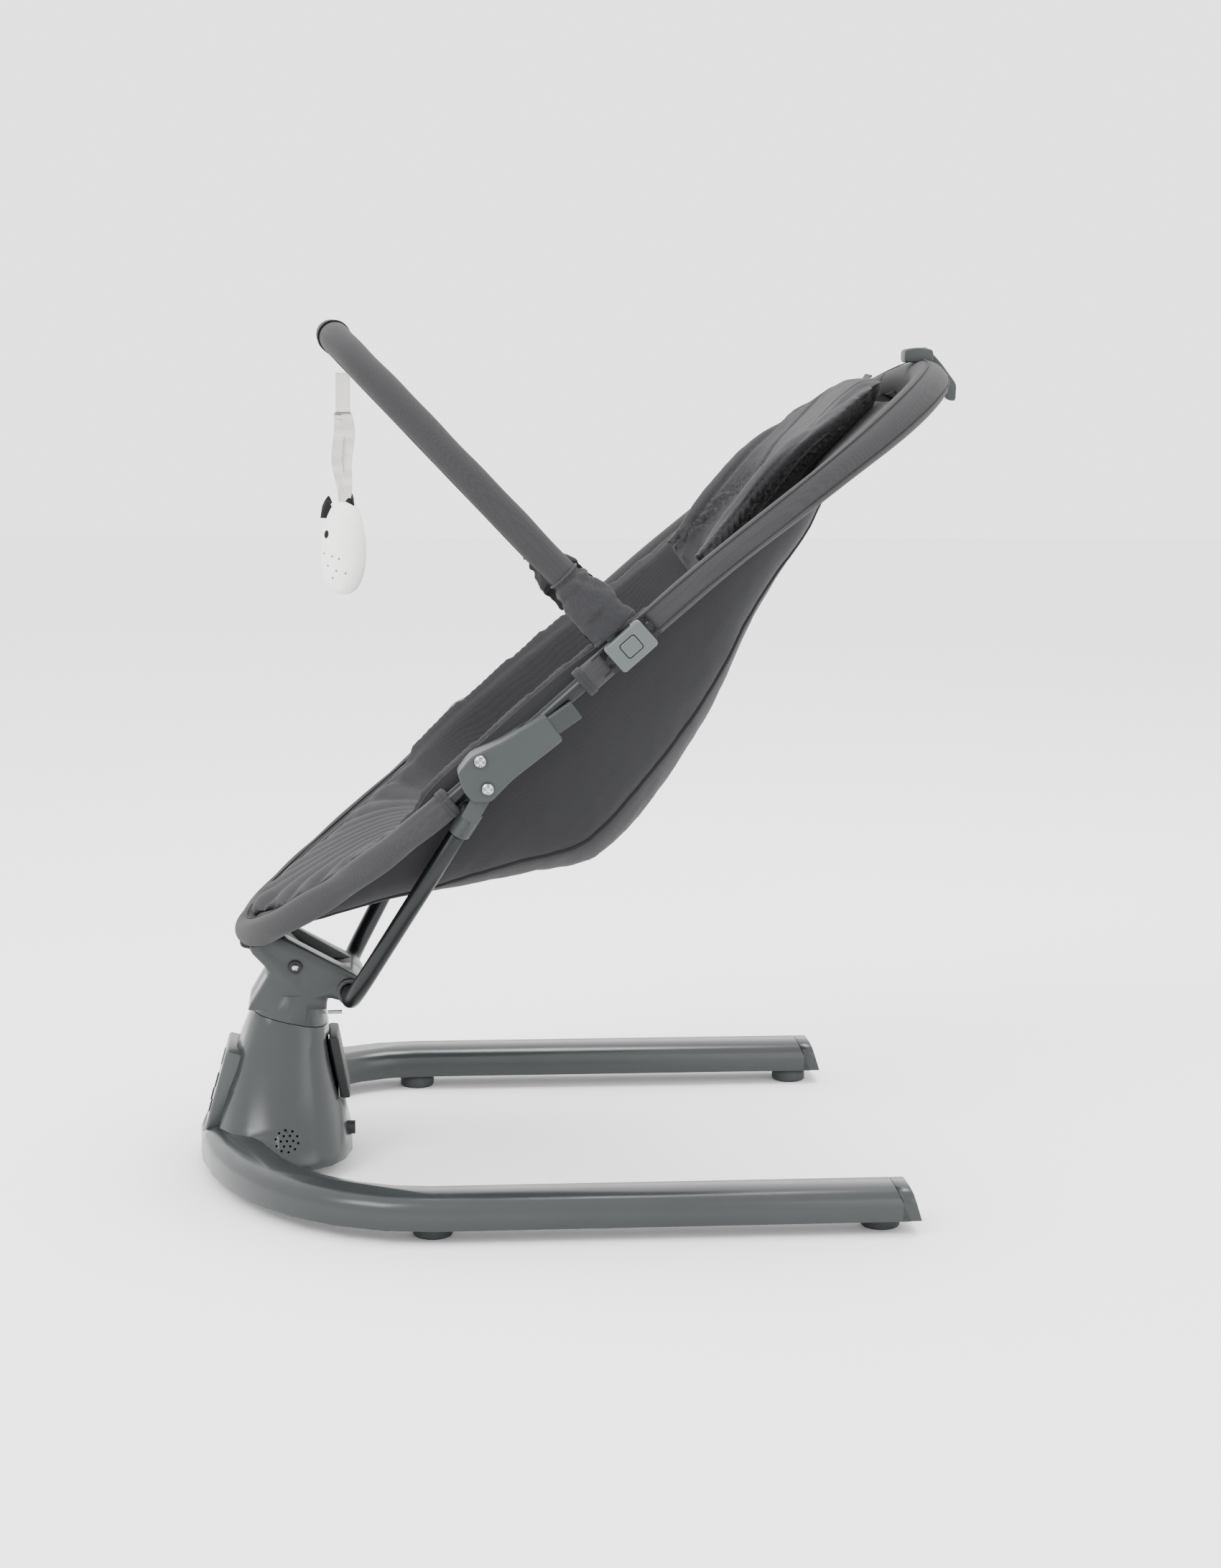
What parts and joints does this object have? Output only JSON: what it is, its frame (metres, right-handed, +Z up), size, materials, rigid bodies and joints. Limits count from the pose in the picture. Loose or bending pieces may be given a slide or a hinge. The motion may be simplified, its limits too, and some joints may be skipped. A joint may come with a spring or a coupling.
{
  "type": "baby swing",
  "caption": "Baby swing with a motor tower on a U-shaped base, a reclining fabric seat on a tubular ring, and a toy bar with hanging toys.",
  "frame": {"origin": "on the floor under the middle of the bounding box", "axes": "+Z up, +X to the side, the head end of the seat towards +Y"},
  "size_m": [0.522, 0.6519, 0.7242],
  "materials": {
    "base_plastic": "cool grey satin moulding",
    "dark_plastic": "dark charcoal, fine texture",
    "panel_plastic": "light grey, smooth",
    "bracket_plastic": "grey, fine texture",
    "clip_plastic": "silver grey, satin",
    "tube_metal": "dark satin tube",
    "steel": "zinc plated",
    "rubber": "dull grey",
    "board": "green laminate",
    "seat_fabric": "heather grey woven",
    "dark_fabric": "dark grey smooth woven",
    "toy_fabric": "off-white plush"
  },
  "bodies": {
    "base": {"base_housing": "base_plastic", "base_bottom_cover": "dark_plastic", "rail_end_cap_left": "base_plastic", "rail_end_cap_right": "base_plastic", "foot_front_left": "rubber", "foot_front_right": "rubber", "foot_rear_left": "rubber", "foot_rear_right": "rubber", "control_panel": "panel_plastic", "circuit_board": "board", "speaker": "dark_plastic", "tower_rear_cover": "dark_plastic", "power_inlet": "dark_plastic", "shaft_bearing": "steel", "swing_motor": "steel"},
    "pinion": {"motor_pinion": "dark_plastic"},
    "neck": {"neck_shell_left": "base_plastic", "neck_shell_right": "base_plastic", "swing_shaft": "steel", "drive_gear": "dark_plastic", "seat_hinge_pin": "steel", "stop_pin": "steel", "recline_spring": "steel"},
    "leg": {"leg_tube": "tube_metal", "tube_end_left": "bracket_plastic", "tube_end_right": "bracket_plastic"},
    "seat": {"seat_ring": "tube_metal", "foot_sleeve": "seat_fabric", "head_sleeve": "seat_fabric", "seat_foot_hinge": "dark_plastic", "seat_cover": "dark_fabric", "seat_liner": "seat_fabric", "headrest": "seat_fabric", "crotch_strap": "dark_fabric", "harness_buckle": "dark_plastic", "waist_strap_left": "dark_fabric", "waist_strap_right": "dark_fabric", "side_clip_left": "clip_plastic", "side_clip_right": "clip_plastic", "head_clip": "clip_plastic"},
    "toy_bar": {"toy_bar_frame": "tube_metal", "toy_bar_cover": "seat_fabric"},
    "head_lever": {"head_clip_lever": "clip_plastic"},
    "buckle_press": {"buckle_button": "clip_plastic"},
    "press_power": {"key_power": "dark_plastic"},
    "press_speed": {"key_speed": "dark_plastic"},
    "press_timer": {"key_timer": "dark_plastic"},
    "press_music": {"key_music": "dark_plastic"},
    "bracket_left": {"hinge_bracket_left": "bracket_plastic", "pivot_screw_left": "steel", "clamp_screw_left": "steel"},
    "recline_press_left": {"recline_button_left": "dark_plastic"},
    "clip_press_left": {"clip_button_left": "clip_plastic"},
    "hanging_toy_left": {"toy_left": "toy_fabric"},
    "bracket_right": {"hinge_bracket_right": "bracket_plastic", "pivot_screw_right": "steel", "clamp_screw_right": "steel"},
    "recline_press_right": {"recline_button_right": "dark_plastic"},
    "clip_press_right": {"clip_button_right": "clip_plastic"},
    "hanging_toy_right": {"toy_right": "toy_fabric"}
  },
  "joints": [
    {"name": "swing", "type": "hinge", "parent": "base", "child": "neck", "pos_m": [0, -0.2485, 0.129], "axis": [0, 0.2249, 0.9744], "range_deg": [-12, 12]},
    {"name": "pinion_spin", "type": "hinge", "parent": "base", "child": "pinion", "pos_m": [0.0355, -0.25885, 0.08418], "axis": [0, 0.2249, 0.9744], "range_deg": [-31, 31]},
    {"name": "recline", "type": "hinge", "parent": "neck", "child": "seat", "pos_m": [0, -0.2426, 0.1775], "axis": [-1, 0, 0], "range_deg": [0, 12]},
    {"name": "leg_turn", "type": "hinge", "parent": "neck", "child": "leg", "pos_m": [0, -0.196, 0.156], "axis": [-1, 0, 0], "range_deg": [0, 14]},
    {"name": "bracket_slide_left", "type": "slide", "parent": "seat", "child": "bracket_left", "axis": [0, 0.7456, 0.6664], "range_m": [0, 0.012]},
    {"name": "recline_button_push_left", "type": "slide", "parent": "bracket_left", "child": "recline_press_left", "axis": [0, -0.8152, -0.5792], "range_m": [0, 0.004], "stiffness_N_per_m": 600},
    {"name": "clip_button_push_left", "type": "slide", "parent": "seat", "child": "clip_press_left", "axis": [-1, 0, 0], "range_m": [0, 0.002], "stiffness_N_per_m": 600},
    {"name": "bracket_slide_right", "type": "slide", "parent": "seat", "child": "bracket_right", "axis": [0, 0.7456, 0.6664], "range_m": [0, 0.012]},
    {"name": "recline_button_push_right", "type": "slide", "parent": "bracket_right", "child": "recline_press_right", "axis": [0, -0.8152, -0.5792], "range_m": [0, 0.004], "stiffness_N_per_m": 600},
    {"name": "clip_button_push_right", "type": "slide", "parent": "seat", "child": "clip_press_right", "axis": [1, 0, 0], "range_m": [0, 0.002], "stiffness_N_per_m": 600},
    {"name": "toy_bar_turn", "type": "hinge", "parent": "seat", "child": "toy_bar", "pos_m": [0, 0.027, 0.4675], "axis": [1, 0, 0], "range_deg": [-45, 45]},
    {"name": "toy_swing_left", "type": "hinge", "parent": "toy_bar", "child": "hanging_toy_left", "pos_m": [0.04, -0.19957, 0.68189], "axis": [1, 0, 0], "range_deg": [-20, 20]},
    {"name": "toy_swing_right", "type": "hinge", "parent": "toy_bar", "child": "hanging_toy_right", "pos_m": [-0.04, -0.19957, 0.68189], "axis": [1, 0, 0], "range_deg": [-20, 20]},
    {"name": "head_lever_turn", "type": "hinge", "parent": "seat", "child": "head_lever", "pos_m": [0, 0.297, 0.701], "axis": [1, 0, 0], "range_deg": [0, 40]},
    {"name": "buckle_button_push", "type": "slide", "parent": "seat", "child": "buckle_press", "axis": [0, 0.5933, -0.805], "range_m": [0, 0.002], "stiffness_N_per_m": 500},
    {"name": "key_push_power", "type": "slide", "parent": "base", "child": "press_power", "axis": [0, 0.963, -0.2696], "range_m": [0, 0.001], "stiffness_N_per_m": 500},
    {"name": "key_push_speed", "type": "slide", "parent": "base", "child": "press_speed", "axis": [0, 0.963, -0.2696], "range_m": [0, 0.001], "stiffness_N_per_m": 500},
    {"name": "key_push_timer", "type": "slide", "parent": "base", "child": "press_timer", "axis": [0, 0.963, -0.2696], "range_m": [0, 0.001], "stiffness_N_per_m": 500},
    {"name": "key_push_music", "type": "slide", "parent": "base", "child": "press_music", "axis": [0, 0.963, -0.2696], "range_m": [0, 0.001], "stiffness_N_per_m": 500}
  ],
  "couplings": [
    {"joint": "pinion_spin", "follows": "swing", "ratio": -2.5},
    {"joint": "leg_turn", "follows": "recline", "ratio": 1.112},
    {"joint": "bracket_slide_left", "follows": "recline", "m_per_rad": 0.0533},
    {"joint": "bracket_slide_right", "follows": "recline", "m_per_rad": 0.0533}
  ]
}
